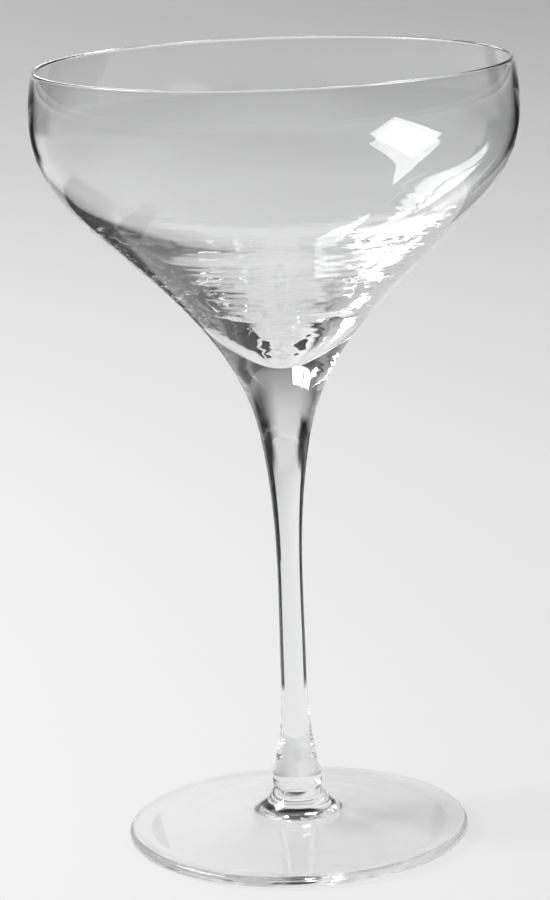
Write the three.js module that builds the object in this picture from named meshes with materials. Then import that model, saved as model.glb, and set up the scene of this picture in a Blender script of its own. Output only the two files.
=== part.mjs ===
// Sherbet glass: a wide shallow bowl on a tall drawn stem with a round spread foot.
// Three pieces of clear glass, each turned about Z and fused end to end.
// Millimetres, +Z up, the foot's resting ring on z = 0 and the axis at x = y = 0.
import * as THREE from 'three';

// Lengths of the three pieces along the axis. Together they are the height of the glass.
const FOOT_HEIGHT = 10.4;
const STEM_LENGTH = 78.3;
const BOWL_HEIGHT = 81.3;

// The two fused joints: flat round faces shared by the pieces on both sides.
const STEM_TOP_RADIUS = 5.3;
const STEM_END_RADIUS = 5.12;

// Bowl, outside. Rises are above the stem's top and drops are below the rim.
const RIM_RADIUS = 50.6;
const BELLY_RADIUS = 51.8;
const BELLY_DROP = 10.8;
const SHOULDER_RADIUS = 30.5;
const SHOULDER_RISE = 38.8;

// Bowl, inside. The wall is thin at the rim and the belly, and the glass gathers at the bottom.
// Rises are above the floor of the hollow, which SOLID_BASE sets above the stem's top.
const RIM_WALL = 1.0;
const BELLY_WALL = 1.1;
const SOLID_BASE = 18.9;
const HAUNCH_RADIUS = 46;
const HAUNCH_RISE = 37.6;
const SLOPE_TOP_RADIUS = 36;
const SLOPE_TOP_RISE = 28.2;
const SLOPE_END_RADIUS = 6;
const SLOPE_END_RISE = 3.6;

// Stem: slender at the waist, with a round bead where it is pressed on to the foot.
const WAIST_RADIUS = 2.95;
const WAIST_RISE = 28.4;
const BEAD_RADIUS = 5.42;
const BEAD_RISE = 2.2;
const TAPER_RADIUS = 5.17;
const TAPER_RISE = 4.4;

// Foot: a thin disc with a rounded edge, a small flared boss and a hollow underneath.
// The hollow follows the disc, and its crown lies under the boss.
const FOOT_RADIUS = 37.4;
const EDGE_THICKNESS = 2.4;
const REST_WIDTH = 3.4;
const HOLLOW_HEIGHT = 3.4;
const CROWN_RADIUS = 12;
const CROWN_DROP = 1;
const BOSS_RADIUS = 10.3;
const BOSS_EDGE_HEIGHT = 5.45;
const NECK_RADIUS = 6.3;
const NECK_DROP = 2;

// Sides of every round, and how far each bend pulls along its end directions.
const SIDES = 48;
const PULL = 0.37;

// The heights that follow from the sizes above.
const STEM_BASE_Z = FOOT_HEIGHT;
const STEM_TOP_Z = STEM_BASE_Z + STEM_LENGTH;
const RIM_Z = STEM_TOP_Z + BOWL_HEIGHT;
const BELLY_Z = RIM_Z - BELLY_DROP;
const CAVITY_Z = STEM_TOP_Z + SOLID_BASE;

const GLASS = { color: 0xe9f0ef, roughness: 0.04, metalness: 0 };

// A station of an outline: radius, height and the direction of the outline there in degrees,
// where 0 points outwards and 90 points up.
function station(radius, height, degrees) {
  const angle = THREE.MathUtils.degToRad(degrees);
  const heading = new THREE.Vector2(Math.cos(angle), Math.sin(angle));
  return { point: new THREE.Vector2(radius, height), heading };
}

// Points of a smooth bend from one station to the next, without the first point.
function bend(from, to, steps) {
  const reach = from.point.distanceTo(to.point) * PULL;
  const leave = from.point.clone().addScaledVector(from.heading, reach);
  const arrive = to.point.clone().addScaledVector(to.heading, -reach);
  const curve = new THREE.CubicBezierCurve(from.point, leave, arrive, to.point);
  return curve.getPoints(steps).slice(1);
}

// Points of a run of stations. Each stop after the first is a station with its number of steps.
function run(first, ...stops) {
  const points = [first.point];
  let last = first;
  for (const [stop, steps] of stops) {
    points.push(...bend(last, stop, steps));
    last = stop;
  }
  return points;
}

// Points of a half round of the given radius that faces outwards, from below to above.
function halfRound(centreRadius, centreHeight, radius, fromDegrees, toDegrees, steps) {
  const points = [];
  for (let i = 0; i <= steps; i += 1) {
    const degrees = fromDegrees + ((toDegrees - fromDegrees) * i) / steps;
    const angle = THREE.MathUtils.degToRad(degrees);
    points.push(new THREE.Vector2(
      centreRadius + radius * Math.cos(angle),
      centreHeight + radius * Math.sin(angle),
    ));
  }
  return points;
}

// A glass piece turned about Z from an outline that starts and ends on the axis.
function turned(name, outline) {
  const geometry = new THREE.LatheGeometry(outline, SIDES);
  geometry.rotateX(Math.PI / 2);
  const mesh = new THREE.Mesh(geometry, new THREE.MeshStandardMaterial(GLASS));
  mesh.name = name;
  return mesh;
}

// The bowl: outside from the joint up to the rim, the round lip, then down inside to the floor.
function bowl() {
  const lip = RIM_WALL / 2;
  const outside = run(
    station(STEM_TOP_RADIUS, STEM_TOP_Z, 80),
    [station(SHOULDER_RADIUS, STEM_TOP_Z + SHOULDER_RISE, 43.4), 10],
    [station(BELLY_RADIUS, BELLY_Z, 90), 9],
    [station(RIM_RADIUS, RIM_Z - lip, 104), 4],
  );
  const round = halfRound(RIM_RADIUS - lip, RIM_Z - lip, lip, 0, 180, 6);
  const inside = run(
    station(RIM_RADIUS - RIM_WALL, RIM_Z - lip, -76),
    [station(BELLY_RADIUS - BELLY_WALL, BELLY_Z, -90), 4],
    [station(HAUNCH_RADIUS, CAVITY_Z + HAUNCH_RISE, -126.5), 6],
    [station(SLOPE_TOP_RADIUS, CAVITY_Z + SLOPE_TOP_RISE, -142), 5],
    [station(SLOPE_END_RADIUS, CAVITY_Z + SLOPE_END_RISE, -138), 5],
    [station(0, CAVITY_Z, -180), 6],
  );
  const floor = new THREE.Vector2(0, STEM_TOP_Z);
  return turned('bowl', [floor, ...outside, ...round.slice(1, -1), ...inside]);
}

// The stem: from the joint on the foot past the bead, up through the waist to the joint on the bowl.
function stem() {
  const side = run(
    station(STEM_END_RADIUS, STEM_BASE_Z, 60),
    [station(BEAD_RADIUS, STEM_BASE_Z + BEAD_RISE, 90), 3],
    [station(TAPER_RADIUS, STEM_BASE_Z + TAPER_RISE, 105), 3],
    [station(WAIST_RADIUS, STEM_BASE_Z + WAIST_RISE, 90), 8],
    [station(STEM_TOP_RADIUS, STEM_TOP_Z, 80), 9],
  );
  const base = new THREE.Vector2(0, STEM_BASE_Z);
  const top = new THREE.Vector2(0, STEM_TOP_Z);
  return turned('stem', [base, ...side, top]);
}

// The foot: the hollow underneath, the flat resting ring, the round edge, the disc and the boss.
function foot() {
  const half = EDGE_THICKNESS / 2;
  const edge = FOOT_RADIUS - half;
  const underside = run(
    station(0, HOLLOW_HEIGHT, 0),
    [station(CROWN_RADIUS, HOLLOW_HEIGHT - CROWN_DROP, -8), 4],
    [station(edge - REST_WIDTH, 0, -5), 4],
  );
  const round = halfRound(edge, half, half, -90, 90, 8);
  const upper = run(
    station(edge, EDGE_THICKNESS, 175),
    [station(BOSS_RADIUS, BOSS_EDGE_HEIGHT, 172), 4],
    [station(NECK_RADIUS, FOOT_HEIGHT - NECK_DROP, 122), 6],
    [station(STEM_END_RADIUS, FOOT_HEIGHT, 122), 2],
  );
  const top = new THREE.Vector2(0, FOOT_HEIGHT);
  return turned('foot', [...underside, ...round, ...upper.slice(1), top]);
}

const glass = new THREE.Group();
glass.name = 'sherbet_glass';
glass.add(bowl(), stem(), foot());

export default glass;
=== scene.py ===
"""Sherbet glass: the dressed model with its stage, its light and its camera.

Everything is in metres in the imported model's frame: +Z up, the foot's resting ring on z = 0 and
the axis of the glass at x = y = 0. The outlines of the pieces are given in millimetres, as they
are measured, and are turned about the axis.
"""

import logging
import math
from collections.abc import Callable
from dataclasses import dataclass
from enum import Enum

import bpy
import numpy as np
from mathutils import Matrix, Quaternion, Vector, noise


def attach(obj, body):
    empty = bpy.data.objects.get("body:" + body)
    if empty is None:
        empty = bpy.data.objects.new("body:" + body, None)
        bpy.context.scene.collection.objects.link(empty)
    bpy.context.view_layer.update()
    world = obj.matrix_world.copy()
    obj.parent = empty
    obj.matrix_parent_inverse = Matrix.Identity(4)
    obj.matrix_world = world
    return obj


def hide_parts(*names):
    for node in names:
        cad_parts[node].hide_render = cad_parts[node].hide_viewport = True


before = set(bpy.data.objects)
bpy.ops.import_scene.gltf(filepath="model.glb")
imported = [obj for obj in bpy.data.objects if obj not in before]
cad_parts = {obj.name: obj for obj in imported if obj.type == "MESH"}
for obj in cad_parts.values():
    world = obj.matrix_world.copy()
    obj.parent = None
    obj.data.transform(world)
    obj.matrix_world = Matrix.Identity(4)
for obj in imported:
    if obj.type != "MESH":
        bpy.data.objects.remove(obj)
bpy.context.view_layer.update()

log = logging.getLogger("sherbet_glass")

MM = 0.001

# Sides of every round, how far each bend pulls along its end directions, and how close to a
# fused corner the outline gets its extra points, in mm.
SIDES = 288
PULL = 0.37
CORNER = 0.02

# Heights and radii that two pieces share at a joint, and the height of the rim, in mm.
FOOT_HEIGHT = 10.4
STEM_TOP = 88.7
RIM = 170.0
STEM_TOP_RADIUS = 5.3
STEM_END_RADIUS = 5.12

Place = tuple[float, float, float]
Relief = Callable[[np.ndarray, np.ndarray], np.ndarray]


@dataclass(frozen=True)
class Station:
    """A point of a turned outline: radius and height in mm, heading in degrees (0 out, 90 up)."""

    radius: float
    height: float
    heading: float

    def point(self) -> np.ndarray:
        """The place of the station."""
        return np.array([self.radius, self.height])

    def along(self) -> np.ndarray:
        """The unit direction of the outline."""
        angle = math.radians(self.heading)
        return np.array([math.cos(angle), math.sin(angle)])


def bend(start: Station, end: Station, step: float) -> np.ndarray:
    """Gives a smooth bend between two stations.

    Args:
        start: The station that the bend leaves.
        end: The station that it arrives at.
        step: The wanted spacing of the points, in mm.

    Returns:
        Points (radius, height) in mm, without the first one.
    """
    first, last = start.point(), end.point()
    chord = float(np.linalg.norm(last - first))
    count = max(3, int(round(chord / step)))
    leave = first + start.along() * chord * PULL
    arrive = last - end.along() * chord * PULL
    u = np.linspace(0.0, 1.0, count + 1)[1:, None]
    return (
        (1 - u) ** 3 * first
        + 3 * u * (1 - u) ** 2 * leave
        + 3 * u**2 * (1 - u) * arrive
        + u**3 * last
    )


def run(stations: list[Station], step: float) -> np.ndarray:
    """Gives the points of a run of bends through the stations.

    Args:
        stations: The stations in order.
        step: The wanted spacing of the points, in mm.

    Returns:
        Points (radius, height) in mm.
    """
    parts = [stations[0].point()[None]]
    for start, end in zip(stations, stations[1:]):
        parts.append(bend(start, end, step))
    return np.vstack(parts)


def round_arc(
    centre: tuple[float, float], radius: float, start: float, end: float, count: int
) -> np.ndarray:
    """Gives the points of an arc in the outline's plane.

    Args:
        centre: Radius and height of the arc's centre, in mm.
        radius: The arc's radius, in mm.
        start: First angle in degrees, 0 outwards and 90 up.
        end: Last angle in degrees.
        count: How many steps the arc has.

    Returns:
        Points (radius, height) in mm.
    """
    angle = np.radians(np.linspace(start, end, count + 1))
    out, up = radius * np.cos(angle), radius * np.sin(angle)
    return np.stack([centre[0] + out, centre[1] + up], axis=1)


def crisp(outline: np.ndarray, fused: set[int]) -> tuple[np.ndarray, set[int]]:
    """Adds a point just beside each corner of a fused end, so that the side's shading stays true.

    Args:
        outline: Points (radius, height) in mm, the first and the last on the axis.
        fused: Steps of the outline that are fused ends: the first, the last or both.

    Returns:
        The outline with the added points, and its fused steps.
    """

    def beside(corner: np.ndarray, following: np.ndarray) -> tuple[np.ndarray, np.ndarray]:
        """Gives the points just inside a corner and just past it on the side."""
        side = following - corner
        return corner - [CORNER, 0.0], corner + CORNER * side / np.linalg.norm(side)

    last = len(outline) - 2
    points, ends = outline, set()
    if 0 in fused:
        inward, past = beside(points[1], points[2])
        points = np.vstack([points[:1], inward, points[1:2], past, points[2:]])
        ends |= {0, 1}
    if last in fused:
        inward, past = beside(points[-2], points[-3])
        points = np.vstack([points[:-2], past, points[-2:-1], inward, points[-1:]])
        ends |= {len(points) - 2, len(points) - 3}
    return points, ends


class Face(Enum):
    """The kinds of surface on a piece, by material slot."""

    POLISHED = 0
    FUSED = 1


def link(obj: bpy.types.Object) -> bpy.types.Object:
    """Puts an object in the scene and returns it."""
    bpy.context.scene.collection.objects.link(obj)
    return obj


def turn(
    name: str, outline: np.ndarray, fused: set[int], relief: Relief | None = None
) -> bpy.types.Object:
    """Turns an outline about the axis into a closed mesh.

    Args:
        name: The piece's name.
        outline: Points (radius, height) in mm, the first and the last on the axis.
        fused: Steps of the outline whose faces are fused to the next piece.
        relief: Gives the small height of the surface in mm, by point of the outline and by angle.

    Returns:
        The piece, linked to the scene.
    """
    outline, fused = crisp(outline, fused)
    rings = outline[1:-1]
    angle = np.linspace(0.0, 2 * math.pi, SIDES, endpoint=False)
    radius = np.repeat(rings[:, :1], SIDES, axis=1)
    z = np.repeat(rings[:, 1:], SIDES, axis=1)
    if relief is not None:
        along = outline[2:] - outline[:-2]
        along /= np.linalg.norm(along, axis=1)[:, None]
        height = relief(rings, angle)
        radius = radius + height * along[:, 1:]
        z = z - height * along[:, :1]
    x, y = radius * np.cos(angle), radius * np.sin(angle)
    body = np.stack([x, y, z], axis=-1).reshape(-1, 3) * MM
    first, last = len(body), len(body) + 1
    ends = [(0.0, 0.0, outline[0, 1] * MM), (0.0, 0.0, outline[-1, 1] * MM)]
    faces, kinds = [], []

    def add(corners: tuple[int, ...], step: int) -> None:
        """Adds a face of the outline's given step."""
        faces.append(corners)
        kinds.append(Face.FUSED if step in fused else Face.POLISHED)

    top = (len(rings) - 1) * SIDES
    following = [(i, (i + 1) % SIDES) for i in range(SIDES)]
    for i, j in following:
        add((first, j, i), 0)
        add((top + i, top + j, last), len(rings))
    for ring in range(len(rings) - 1):
        low, high = ring * SIDES, (ring + 1) * SIDES
        for i, j in following:
            add((low + i, low + j, high + j, high + i), ring + 1)
    mesh = bpy.data.meshes.new(name)
    mesh.from_pydata(body.tolist() + ends, [], faces)
    mesh.polygons.foreach_set("material_index", [kind.value for kind in kinds])
    mesh.polygons.foreach_set("use_smooth", [kind is Face.POLISHED for kind in kinds])
    mesh.update()
    return link(bpy.data.objects.new(name, mesh))


class Tree:
    """The node tree of a material or of the world, with short ways to add to it."""

    def __init__(self, owner: bpy.types.Material | bpy.types.World) -> None:
        """Turns the owner's nodes on and takes hold of them."""
        owner.use_nodes = True
        self.nodes, self.links = owner.node_tree.nodes, owner.node_tree.links

    def add(
        self, kind: str, inputs: dict[str | int, object] | None = None, **settings: object
    ) -> bpy.types.Node:
        """Adds a node.

        Args:
            kind: The node's type, without the leading ShaderNode.
            inputs: Plain values and sockets to link, by the input's name or number.
            settings: The node's own settings.

        Returns:
            The node.
        """
        node = self.nodes.new("ShaderNode" + kind)
        for name, value in settings.items():
            setattr(node, name, value)
        for name, value in (inputs or {}).items():
            if isinstance(value, bpy.types.NodeSocket):
                self.links.new(value, node.inputs[name])
            else:
                node.inputs[name].default_value = value
        return node

    def math(self, operation: str, *values: object) -> bpy.types.NodeSocket:
        """Adds an operation on sockets and plain values, and gives its result."""
        return self.add("Math", dict(enumerate(values)), operation=operation).outputs["Value"]

    def span(
        self,
        value: bpy.types.NodeSocket,
        start: float,
        end: float,
        low: float = 0.0,
        high: float = 1.0,
        interpolation: str = "LINEAR",
    ) -> bpy.types.NodeSocket:
        """Adds a change from one level to another, held level on both sides.

        Args:
            value: What the level depends on.
            start: The value where the change starts.
            end: The value where it ends.
            low: The level at the start.
            high: The level at the end.
            interpolation: The form of the change.

        Returns:
            The level.
        """
        limits = {"From Min": start, "From Max": end, "To Min": low, "To Max": high}
        node = self.add("MapRange", {"Value": value, **limits}, interpolation_type=interpolation)
        return node.outputs["Result"]


def new_material(name: str) -> tuple[bpy.types.Material, Tree]:
    """Makes a material without nodes.

    Args:
        name: The material's name.

    Returns:
        The material and its empty node tree.
    """
    mat = bpy.data.materials.new(name)
    tree = Tree(mat)
    tree.nodes.clear()
    return mat, tree


@dataclass(frozen=True)
class ClearGlass:
    """Clear colourless glass with faint cords, the streaks that gathering leaves in its colour.

    shade is how much light passes one surface, face on and edge on, where the glass throws a
    shadow. shade_start is how far the surface turns before the shade changes.
    """

    name: str
    tint: tuple[float, float, float] = (0.985, 0.99, 0.988)
    ior: float = 1.51
    shade: tuple[float, float] = (0.97, 0.6)
    shade_start: float = 0.0
    cord_scale: float = 70.0
    cord_detail: float = 2.0
    cord_depth: float = 0.975

    def build(self) -> bpy.types.Material:
        """Makes the material.

        Returns:
            The material, which lets shadow rays and diffuse rays through.
        """
        mat, tree = new_material(self.name)
        place = tree.add("TexCoord")
        cords = tree.add("TexNoise", {
            "Vector": place.outputs["Object"],
            "Scale": self.cord_scale,
            "Detail": self.cord_detail,
        })
        deeper = tuple(self.cord_depth * level for level in self.tint)
        colour = tree.add(
            "Mix",
            {0: cords.outputs["Fac"], 6: (*self.tint, 1.0), 7: (*deeper, 1.0)},
            data_type="RGBA",
        )
        glass = tree.add("BsdfPrincipled", {
            "Base Color": colour.outputs[2],
            "Roughness": 0.0,
            "IOR": self.ior,
            "Transmission Weight": 1.0,
        }).outputs["BSDF"]
        facing = tree.add("LayerWeight", {"Blend": 0.5}).outputs["Facing"]
        shade = tree.span(facing, self.shade_start, 1.0, *self.shade)
        clear = tree.add("BsdfTransparent", {"Color": shade}).outputs["BSDF"]
        path = tree.add("LightPath").outputs
        soft = tree.add("MixShader", {"Fac": path["Is Diffuse Ray"], 1: glass, 2: clear})
        mix = tree.add("MixShader", {
            "Fac": path["Is Shadow Ray"], 1: soft.outputs["Shader"], 2: clear,
        })
        tree.add("OutputMaterial", {"Surface": mix.outputs["Shader"]})
        return mat


@dataclass(frozen=True)
class FusedSeam:
    """The face where two pieces of glass have flowed into one, which light passes unbent."""

    name: str = "fused_seam"

    def build(self) -> bpy.types.Material:
        """Makes the material.

        Returns:
            The material.
        """
        mat, tree = new_material(self.name)
        clear = tree.add("BsdfTransparent")
        tree.add("OutputMaterial", {"Surface": clear.outputs["BSDF"]})
        return mat


BOWL_GLASS = ClearGlass("bowl_glass", tint=(0.925, 0.93, 0.928))
STEM_GLASS = ClearGlass("stem_glass", tint=(0.95, 0.955, 0.953), shade=(0.8, 0.5))
FOOT_GLASS = ClearGlass("foot_glass", shade=(0.985, 0.5), shade_start=0.5)


@dataclass(frozen=True)
class Waves:
    """Waves that working left in the glass: their height and length in mm, and degrees around."""

    height: float
    along: float
    around: float
    seed: float

    def at(self, way: float, angle: np.ndarray) -> np.ndarray:
        """Gives the heights at one place along the outline.

        Args:
            way: The place along the outline, in mm.
            angle: The angles around the axis, in radians.

        Returns:
            The height at each angle, in mm.
        """
        turns = 360.0 / self.around / (2 * math.pi)
        x, y, z = turns * np.cos(angle) + self.seed, turns * np.sin(angle), way / self.along
        return self.height * np.array([noise.noise(Vector((u, v, z))) for u, v in zip(x, y)])


@dataclass
class Bowl:
    """The blown bowl with its thin wall, its round lip and its solid base. Sizes are in mm.

    Drops are below the rim. The shoulder rises above the stem's top, and the inside above the
    floor of the hollow. The waves start and are full at these radii, and die out at the middle.
    """

    rim_radius: float = 50.6
    rim_wall: float = 1.0
    belly_radius: float = 51.8
    belly_wall: float = 1.1
    belly_drop: float = 10.8
    shoulder_radius: float = 30.5
    shoulder_rise: float = 38.8
    floor: float = 107.6
    haunch_radius: float = 46.0
    haunch_rise: float = 37.6
    slope_top_radius: float = 36.0
    slope_top_rise: float = 28.2
    slope_end_radius: float = 6.0
    slope_end_rise: float = 3.6
    outside_step: float = 0.6
    inside_step: float = 0.3
    lip_steps: int = 14
    waves: tuple[Waves, ...] = (Waves(0.03, 1.5, 24, 3.1), Waves(0.09, 6.0, 34, 7.7))
    waves_start: float = 43.0
    waves_full: float = 34.0
    waves_end: float = 4.0

    def outline(self) -> np.ndarray:
        """Gives the outline from the joint over the rim to the floor of the hollow.

        Returns:
            Points (radius, height) in mm.
        """
        lip = self.rim_wall / 2
        belly = RIM - self.belly_drop
        outside = run([
            Station(STEM_TOP_RADIUS, STEM_TOP, 80),
            Station(self.shoulder_radius, STEM_TOP + self.shoulder_rise, 43.4),
            Station(self.belly_radius, belly, 90),
            Station(self.rim_radius, RIM - lip, 104),
        ], self.outside_step)
        over = round_arc((self.rim_radius - lip, RIM - lip), lip, 0, 180, self.lip_steps)
        inside = run([
            Station(self.rim_radius - self.rim_wall, RIM - lip, -76),
            Station(self.belly_radius - self.belly_wall, belly, -90),
            Station(self.haunch_radius, self.floor + self.haunch_rise, -126.5),
            Station(self.slope_top_radius, self.floor + self.slope_top_rise, -142),
            Station(self.slope_end_radius, self.floor + self.slope_end_rise, -138),
            Station(0, self.floor, -180),
        ], self.inside_step)
        return np.vstack([[[0.0, STEM_TOP]], outside, over[1:-1], inside])

    def relief(self, rings: np.ndarray, angle: np.ndarray) -> np.ndarray:
        """Gives the ripples on the inside of the lower bowl.

        Args:
            rings: Points (radius, height) of the outline, in mm.
            angle: The angles around the axis, in radians.

        Returns:
            The height of the surface by ring and angle, in mm.
        """
        height = np.zeros((len(rings), len(angle)))
        steps = np.linalg.norm(np.diff(rings, axis=0), axis=1)
        way = np.concatenate([[0.0], np.cumsum(steps)])
        for i in range(int(np.argmax(rings[:, 1])), len(rings)):
            radius = rings[i, 0]
            depth = (self.waves_start - radius) / (self.waves_start - self.waves_full)
            share = np.clip(depth, 0.0, 1.0) * np.clip(radius / self.waves_end, 0.0, 1.0)
            if share > 0.0:
                height[i] = share * sum(wave.at(way[i], angle) for wave in self.waves)
        return height

    def build(self, glass: bpy.types.Material, seam: bpy.types.Material) -> bpy.types.Object:
        """Makes the bowl and dresses it.

        Args:
            glass: The material of the bowl.
            seam: The material of its joint.

        Returns:
            The piece.
        """
        piece = turn("bowl_blown", self.outline(), {0}, self.relief)
        piece.data.materials.append(glass)
        piece.data.materials.append(seam)
        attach(piece, "root")
        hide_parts("bowl")
        return piece


@dataclass
class Stem:
    """The drawn stem with its waist and the bead at its end. Sizes are in mm."""

    waist_radius: float = 2.95
    waist: float = 38.8
    bead_radius: float = 5.42
    bead: float = 12.6
    taper_radius: float = 5.17
    taper: float = 14.8
    step: float = 0.4

    def outline(self) -> np.ndarray:
        """Gives the outline from the joint on the foot to the joint on the bowl.

        Returns:
            Points (radius, height) in mm.
        """
        side = run([
            Station(STEM_END_RADIUS, FOOT_HEIGHT, 60),
            Station(self.bead_radius, self.bead, 90),
            Station(self.taper_radius, self.taper, 105),
            Station(self.waist_radius, self.waist, 90),
            Station(STEM_TOP_RADIUS, STEM_TOP, 80),
        ], self.step)
        return np.vstack([[[0.0, FOOT_HEIGHT]], side, [[0.0, STEM_TOP]]])

    def build(self, glass: bpy.types.Material, seam: bpy.types.Material) -> bpy.types.Object:
        """Makes the stem and dresses it.

        Args:
            glass: The material of the stem.
            seam: The material of its two joints.

        Returns:
            The piece.
        """
        outline = self.outline()
        piece = turn("stem_drawn", outline, {0, len(outline) - 2})
        piece.data.materials.append(glass)
        piece.data.materials.append(seam)
        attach(piece, "root")
        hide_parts("stem")
        return piece


@dataclass
class Foot:
    """The spread foot: a disc with a round edge, a boss and a hollow underneath. Sizes are in mm.

    The waves start outside the boss at waves_start and are full waves_rise further out. They end
    waves_margin inside the edge, and weaken over waves_fall before that.
    """

    radius: float = 37.4
    edge: float = 2.4
    rest: float = 3.4
    hollow: float = 3.4
    crown_radius: float = 12.0
    crown_drop: float = 1.0
    boss_radius: float = 10.3
    boss_edge: float = 5.45
    neck_radius: float = 6.3
    neck_drop: float = 2.0
    under_step: float = 0.7
    upper_step: float = 0.4
    edge_steps: int = 28
    waves: tuple[Waves, ...] = (Waves(0.022, 3.2, 75, 1.9), Waves(0.05, 9.0, 50, 5.2))
    waves_start: float = 10.0
    waves_rise: float = 3.0
    waves_margin: float = 3.0
    waves_fall: float = 8.0

    def outline(self) -> np.ndarray:
        """Gives the outline from the middle of the hollow round the edge to the joint.

        Returns:
            Points (radius, height) in mm.
        """
        half = self.edge / 2
        rim = self.radius - half
        under = run([
            Station(0, self.hollow, 0),
            Station(self.crown_radius, self.hollow - self.crown_drop, -8),
            Station(rim - self.rest, 0, -5),
        ], self.under_step)
        edge = round_arc((rim, half), half, -90, 90, self.edge_steps)
        upper = run([
            Station(rim, self.edge, 175),
            Station(self.boss_radius, self.boss_edge, 172),
            Station(self.neck_radius, FOOT_HEIGHT - self.neck_drop, 122),
            Station(STEM_END_RADIUS, FOOT_HEIGHT, 122),
        ], self.upper_step)
        return np.vstack([under, edge, upper[1:], [[0.0, FOOT_HEIGHT]]])

    def relief(self, rings: np.ndarray, angle: np.ndarray) -> np.ndarray:
        """Gives the faint rings that spreading left on the upper face.

        Args:
            rings: Points (radius, height) of the outline, in mm.
            angle: The angles around the axis, in radians.

        Returns:
            The height of the surface by ring and angle, in mm.
        """
        height = np.zeros((len(rings), len(angle)))
        for i in range(int(np.argmax(rings[:, 0])), len(rings)):
            radius = rings[i, 0]
            rise = (radius - self.waves_start) / self.waves_rise
            fall = (self.radius - self.waves_margin - radius) / self.waves_fall
            share = np.clip(rise, 0.0, 1.0) * np.clip(fall, 0.0, 1.0)
            if share > 0.0:
                height[i] = share * sum(wave.at(radius, angle) for wave in self.waves)
        return height

    def build(self, glass: bpy.types.Material, seam: bpy.types.Material) -> bpy.types.Object:
        """Makes the foot and dresses it.

        Args:
            glass: The material of the foot.
            seam: The material of its joint.

        Returns:
            The piece.
        """
        outline = self.outline()
        piece = turn("foot_spread", outline, {len(outline) - 2}, self.relief)
        piece.data.materials.append(glass)
        piece.data.materials.append(seam)
        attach(piece, "root")
        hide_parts("foot")
        return piece


def way_to(azimuth: float, elevation: float) -> Vector:
    """The direction at an azimuth (0 away from the camera, 90 to the right) and an elevation."""
    a, e = math.radians(azimuth), math.radians(elevation)
    return Vector((math.sin(a) * math.cos(e), math.cos(a) * math.cos(e), math.sin(e)))


def stage_mesh(name: str, corners: list[Place]) -> bpy.types.Object:
    """Makes a flat stage piece.

    Args:
        name: The name of the piece.
        corners: Its corners in order, in metres.

    Returns:
        The piece, linked to the scene.
    """
    mesh = bpy.data.meshes.new(name)
    mesh.from_pydata(corners, [], [tuple(range(len(corners)))])
    mesh.update()
    piece = link(bpy.data.objects.new(name, mesh))
    return piece


@dataclass
class PaperFloor:
    """The pale paper that the glass stands on, and the glow that keeps it pale far away.

    The glow is painted light, seen by the camera and by way of the glass: lift on the axes, and
    fade more or less where x times y reaches -turn or turn, a painted falloff of the light across
    the floor. Haze is added between two distances from the glass. The paper's colour is painted
    greyer round the middle of the lamp's pool of light, a painted shade so that it doesn't burn
    out there.
    """

    reach: float = 14.0
    sides: int = 96
    drop: float = 0.0002
    paper: float = 0.9
    lift: float = 0.195
    fade: float = 0.06
    turn: float = 0.6
    haze: float = 0.35
    haze_between: tuple[float, float] = (2.1, 5.0)
    pool: Place = (-0.85, 0.0, 0.0)
    pool_paper: float = 0.42
    pool_between: tuple[float, float] = (0.15, 0.58)

    def build(self) -> bpy.types.Object:
        """Makes the floor as a stage piece.

        Returns:
            The floor.
        """
        angle = np.linspace(0, 2 * math.pi, self.sides, endpoint=False)
        floor = stage_mesh("paper_floor", [
            (self.reach * math.cos(a), self.reach * math.sin(a), -self.drop) for a in angle
        ])
        floor.data.materials.append(self.finish())
        return floor

    def finish(self) -> bpy.types.Material:
        """Makes the paper's material.

        Returns:
            The material. Its glow shows to the camera and by way of the glass alone.
        """
        mat, tree = new_material("pale_paper")
        place = tree.add("TexCoord").outputs["Object"]
        split = tree.add("SeparateXYZ", {"Vector": place}).outputs
        across = tree.math("MULTIPLY", split["X"], split["Y"])
        most, least = self.lift + self.fade, self.lift - self.fade
        # Painted light: the glow's level, with a painted falloff of the light across the floor.
        tone = tree.span(across, -self.turn, self.turn, most, least)
        away = tree.add("VectorMath", {0: place}, operation="LENGTH").outputs["Value"]
        haze = tree.span(away, *self.haze_between, 0.0, self.haze)
        path = tree.add("LightPath").outputs
        seen = tree.math("MAXIMUM", path["Is Camera Ray"], path["Is Glossy Ray"])
        seen = tree.math("MAXIMUM", seen, path["Is Transmission Ray"])
        level = tree.math("MULTIPLY", seen, tree.math("ADD", tone, haze))
        glow = tree.add("Emission", {"Strength": level}).outputs["Emission"]
        # Painted shade: the paper's colour is greyer round the middle of the lamp's pool of light.
        from_pool = tree.add("VectorMath", {0: place, 1: self.pool}, operation="DISTANCE")
        colour = tree.span(
            from_pool.outputs["Value"], *self.pool_between, self.pool_paper, self.paper
        )
        paper = tree.add("BsdfDiffuse", {"Color": colour}).outputs["BSDF"]
        both = tree.add("AddShader", {0: paper, 1: glow})
        tree.add("OutputMaterial", {"Surface": both.outputs["Shader"]})
        return mat


class Sight(Enum):
    """The ways in which the glass sees a panel."""

    BOTH = "mirrored and through"
    MIRRORED = "mirrored"
    THROUGH = "through"


class Show(Enum):
    """The sides of a panel that show."""

    BOTH = "both"
    BACK = "back"


UP = (0.0, 0.0, 1.0)
DOWN = (0.0, 0.0, -1.0)
DARK = 0.015


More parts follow.
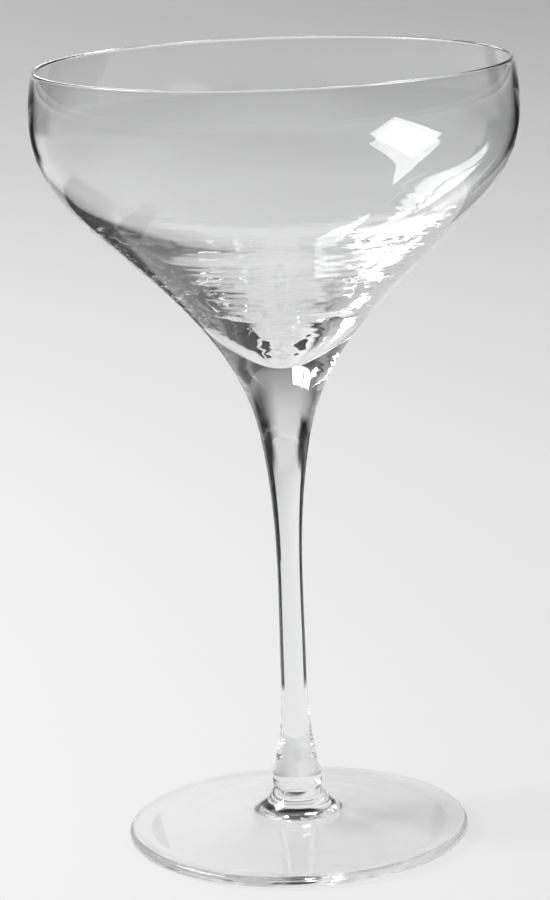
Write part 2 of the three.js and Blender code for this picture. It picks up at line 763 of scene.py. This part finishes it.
@dataclass(frozen=True)
class SoftPanel:
    """A panel with soft edges that only the glass sees: a dark flag or shade, or a bright glow.

    It stands at a distance in a direction from its target, and looks along that direction, or
    along facing. soft is the share of the half width, and soft_up of the half height, that its
    edge takes to fade out.
    """

    name: str
    azimuth: float
    distance: float
    width: float
    height: float
    level: float = DARK
    elevation: float = 0.0
    target: Place = (0.0, 0.0, 0.15)
    facing: Place | None = None
    soft: float = 0.35
    soft_up: float | None = None
    show: Show = Show.BOTH
    sight: Sight = Sight.BOTH

    def build(self) -> bpy.types.Object:
        """Makes the panel as a stage piece.

        Returns:
            The panel.
        """
        w, h = self.width / 2, self.height / 2
        panel = stage_mesh(self.name, [(-w, -h, 0.0), (w, -h, 0.0), (w, h, 0.0), (-w, h, 0.0)])
        way = way_to(self.azimuth, self.elevation)
        panel.location = Vector(self.target) + way * self.distance
        panel.rotation_mode = "QUATERNION"
        if self.facing is None:
            panel.rotation_quaternion = way.to_track_quat("Z", "Y")
        else:
            spin = Quaternion((0, 0, 1), math.radians(-self.azimuth))
            panel.rotation_quaternion = Vector(self.facing).to_track_quat("Z", "Y") @ spin
        panel.data.materials.append(self.finish())
        panel.visible_camera = False
        panel.visible_diffuse = False
        panel.visible_shadow = False
        panel.visible_transmission = self.sight is not Sight.MIRRORED
        panel.visible_glossy = self.sight is not Sight.THROUGH
        return panel

    def finish(self) -> bpy.types.Material:
        """Makes the panel's material.

        Returns:
            The material, clear at the edges and with the panel's level in the middle.
        """
        mat, tree = new_material(self.name)
        place = tree.add("TexCoord").outputs["Object"]
        split = tree.add("SeparateXYZ", {"Vector": place}).outputs
        shares = []
        for axis, half, soft in (
            ("X", self.width / 2, self.soft),
            ("Y", self.height / 2, self.soft_up or self.soft),
        ):
            away = tree.math("ABSOLUTE", split[axis])
            inner = half * (1 - soft)
            shares.append(tree.span(away, half, inner, interpolation="SMOOTHSTEP"))
        share = tree.math("MULTIPLY", *shares)
        if self.show is Show.BACK:
            back = tree.add("NewGeometry").outputs["Backfacing"]
            share = tree.math("MULTIPLY", back, share)
        clear = tree.add("BsdfTransparent").outputs["BSDF"]
        glow = tree.add("Emission", {"Strength": self.level}).outputs["Emission"]
        mix = tree.add("MixShader", {"Fac": share, 1: clear, 2: glow})
        tree.add("OutputMaterial", {"Surface": mix.outputs["Shader"]})
        return mat


# Flags and shades beside and behind the stem, which give it and the neck their dark outlines.
STEM_PANELS = (
    SoftPanel("right_flag", 54, 0.235, 0.215, 0.097, target=(0.0, 0.0, 0.0385),
              soft=0.05, soft_up=0.25),
    SoftPanel("right_neck_flag", 50, 0.235, 0.215, 0.06, target=(0.0, 0.0, 0.105),
              soft=0.05, soft_up=0.25),
    SoftPanel("left_flag", -48, 0.06, 0.03, 0.076, target=(0.0, 0.0, 0.049),
              soft=0.05, soft_up=0.15, sight=Sight.THROUGH),
    SoftPanel("right_low_flag", 50, 0.06, 0.036, 0.047, target=(0.0, 0.0, 0.0345),
              soft=0.05, soft_up=0.15, sight=Sight.THROUGH),
    SoftPanel("left_stem_shade", -84, 0.1, 0.12, 0.036, target=(0.0, 0.0, 0.04),
              soft=0.4, sight=Sight.MIRRORED),
    SoftPanel("right_stem_shade", 86, 0.1, 0.12, 0.036, target=(0.0, 0.0, 0.04),
              soft=0.4, sight=Sight.MIRRORED),
    SoftPanel("boss_shade", 0, 0.062, 0.036, 0.085, target=(0.0, 0.0, 0.03), facing=UP,
              soft=0.5, show=Show.BACK),
)

# Shades that darken the bowl's edges and its left wall, and the windows that it mirrors.
BOWL_PANELS = (
    SoftPanel("left_wall_shade", -38, 1.0, 0.8, 0.16, level=0.12,
              target=(0.0, 0.0, 0.08), soft=0.6),
    SoftPanel("right_wall_shade", 38, 1.0, 0.8, 0.16, level=0.12,
              target=(0.0, 0.0, 0.08), soft=0.6),
    SoftPanel("stem_glow", 0, 0.15, 0.12, 0.024, level=0.72, target=(0.0, 0.0, 0.077), soft=0.5),
    SoftPanel("window_left", -23, 0.27, 0.04, 0.12, level=6.0, elevation=25,
              target=(0.0, 0.0, 0.145), soft=0.25),
    SoftPanel("window_right", -12.5, 0.27, 0.045, 0.12, level=6.0, elevation=25,
              target=(0.0, 0.0, 0.145), soft=0.25),
    SoftPanel("left_low_shade", -52, 0.179, 0.18, 0.125, elevation=-30.1, facing=UP,
              soft=0.3, sight=Sight.MIRRORED),
    SoftPanel("left_edge_flag", -30.5, 0.337, 0.13, 0.1, elevation=-7.7, soft=0.6),
    SoftPanel("right_edge_flag", 30.5, 0.337, 0.13, 0.1, elevation=-7.7, soft=0.6),
)

# Level panels that keep the lower bowl and the foot bright.
GLOW_PANELS = (
    SoftPanel("bowl_glow", 0, 0.075, 0.11, 0.08, level=0.93, target=(0.0, 0.0, 0.1), facing=DOWN,
              soft=0.6, show=Show.BACK),
    SoftPanel("foot_glow", 0, 0.36, 0.22, 0.7, level=0.85, target=(-0.085, 0.0, 0.06), facing=UP,
              soft=0.4, show=Show.BACK),
)


@dataclass
class SoftBox:
    """The soft lamp, placed by its direction from the bowl."""

    name: str = "key_softbox"
    azimuth: float = -93.0
    elevation: float = 38.5
    distance: float = 1.4
    width: float = 0.803
    height: float = 0.493
    radiance: float = 14.0
    target: Place = (0.0, 0.0, 0.15)

    def build(self) -> bpy.types.Object:
        """Makes the lamp.

        Returns:
            The lamp, linked to the scene.
        """
        way = way_to(self.azimuth, self.elevation)
        lamp = bpy.data.lights.new(self.name, "AREA")
        lamp.shape = "RECTANGLE"
        lamp.size, lamp.size_y = self.width, self.height
        lamp.energy = self.radiance * math.pi * self.width * self.height
        obj = link(bpy.data.objects.new(self.name, lamp))
        obj.location = Vector(self.target) + way * self.distance
        obj.rotation_mode = "QUATERNION"
        obj.rotation_quaternion = way.to_track_quat("Z", "Y")
        obj.visible_camera = False
        return obj


@dataclass
class PhotoCamera:
    """The camera at the photograph's place, in metres, with its lens in mm and turns in degrees."""

    back: float = 0.69274
    height: float = 0.24564
    pitch: float = 12.9539
    yaw: float = 0.1937
    roll: float = -2.0703
    lens: float = 131.918
    sensor: float = 36.0
    clip: tuple[float, float] = (0.01, 50.0)

    def build(self) -> bpy.types.Object:
        """Makes the camera and makes it the scene's own.

        Returns:
            The camera, linked to the scene.
        """
        data = bpy.data.cameras.new("photo_camera")
        data.lens = self.lens
        data.sensor_width = self.sensor
        data.clip_start, data.clip_end = self.clip
        cam = link(bpy.data.objects.new("photo_camera", data))
        aim = (
            Matrix.Rotation(math.radians(self.yaw), 4, "Z")
            @ Matrix.Rotation(math.radians(90.0 - self.pitch), 4, "X")
            @ Matrix.Rotation(math.radians(self.roll), 4, "Z")
        )
        cam.matrix_world = Matrix.Translation((0.0, -self.back, self.height)) @ aim
        bpy.context.scene.camera = cam
        return cam


Stops = tuple[tuple[float, float], ...]


@dataclass(frozen=True)
class Sector:
    """A part of the studio: its share by azimuth and its level by elevation, in degrees."""

    shares: Stops
    levels: Stops


BACK = Sector(
    ((-40, 0.0), (-16, 1.0), (8, 1.0), (29, 0.0)),
    ((-10, 0.78), (0, 0.76), (4, 0.72), (8, 0.66), (12, 0.6), (17, 0.5), (24, 0.42), (33, 0.36),
     (45, 0.1), (60, 0.04)),
)
RIGHT = Sector(
    ((8, 0.0), (29, 1.0), (135, 1.0), (165, 0.0)),
    ((-10, 0.04), (18, 0.04), (30, 0.3), (44, 0.32), (58, 0.08), (70, 0.04)),
)
LEFT_BACK = Sector(
    ((-80, 0.0), (-60, 1.0), (-40, 1.0), (-16, 0.0)),
    ((-10, 0.04), (5, 0.04), (11, 0.3), (17, 0.3), (24, 0.1), (40, 0.1), (55, 0.04)),
)
LEFT_AND_FRONT = Sector(
    ((-180, 1.0), (-80, 1.0), (-60, 0.0), (135, 0.0), (165, 1.0), (180, 1.0)),
    ((-10, 0.6), (38, 0.6), (58, 0.08), (70, 0.04)),
)


@dataclass
class Surround:
    """The studio that the glass sees round the set, and the pale wall that the camera sees."""

    sectors: tuple[Sector, ...] = (BACK, RIGHT, LEFT_BACK, LEFT_AND_FRONT)
    wall: float = 0.74
    azimuths: tuple[float, float] = (-180.0, 180.0)
    elevations: tuple[float, float] = (-10.0, 90.0)

    def build(self) -> None:
        """Lights the scene with the studio."""
        world = bpy.data.worlds.new("studio")
        tree = Tree(world)
        place = tree.add("TexCoord").outputs["Generated"]
        split = tree.add("SeparateXYZ", {"Vector": place}).outputs
        azimuth = tree.math("ARCTAN2", split["X"], split["Y"])
        elevation = tree.math("ARCSINE", split["Z"])
        total: bpy.types.NodeSocket | float = 0.0
        for sector in self.sectors:
            share = self.ramp(tree, azimuth, self.azimuths, sector.shares)
            level = self.ramp(tree, elevation, self.elevations, sector.levels)
            total = tree.math("MULTIPLY_ADD", share, level, total)
        by_camera = tree.add("LightPath").outputs["Is Camera Ray"]
        seen = tree.add(
            "Mix", {"Factor": by_camera, "A": total, "B": self.wall}, data_type="FLOAT"
        )
        tree.links.new(seen.outputs["Result"], tree.nodes["Background"].inputs["Color"])
        bpy.context.scene.world = world

    @staticmethod
    def ramp(
        tree: Tree, angle: bpy.types.NodeSocket, between: tuple[float, float], stops: Stops
    ) -> bpy.types.NodeSocket:
        """Adds a ramp over an angle.

        Args:
            tree: The world's node tree.
            angle: The angle, in radians.
            between: The lowest and highest angle, in degrees.
            stops: Angles in degrees, with the value at each.

        Returns:
            The value at the angle.
        """
        low, high = between
        share = tree.span(angle, math.radians(low), math.radians(high))
        band = tree.add("ValToRGB", {"Fac": share})
        elements = band.color_ramp.elements
        while len(elements) < len(stops):
            elements.new(0.5)
        for element, (degrees, level) in zip(elements, stops):
            element.position = (degrees - low) / (high - low)
            element.color = (level, level, level, 1.0)
        return band.outputs["Color"]


@dataclass(frozen=True)
class View:
    """How the picture is made: the plain view transform, and bounces enough for solid glass."""

    transform: str = "Standard"
    bounces: int = 64
    clear_bounces: int = 32

    def build(self) -> None:
        """Sets the scene's view and bounces."""
        scene = bpy.context.scene
        scene.view_settings.view_transform = self.transform
        scene.cycles.max_bounces = self.bounces
        scene.cycles.transmission_bounces = self.bounces
        scene.cycles.glossy_bounces = self.bounces
        scene.cycles.transparent_max_bounces = self.clear_bounces
        scene.cycles.caustics_reflective = False
        scene.cycles.caustics_refractive = False


def main() -> None:
    """Builds the glass, the stage, the light and the camera."""
    seam = FusedSeam().build()
    bowl = Bowl().build(BOWL_GLASS.build(), seam)
    log.info("bowl: %s", bowl.name)
    stem = Stem().build(STEM_GLASS.build(), seam)
    log.info("stem: %s", stem.name)
    foot = Foot().build(FOOT_GLASS.build(), seam)
    log.info("foot: %s", foot.name)
    for part in (PaperFloor(), *STEM_PANELS, *BOWL_PANELS, *GLOW_PANELS):
        log.info("stage: %s", part.build().name)
    SoftBox().build()
    Surround().build()
    PhotoCamera().build()
    View().build()


if __name__ == "__main__":
    logging.basicConfig(level=logging.INFO)
    main()
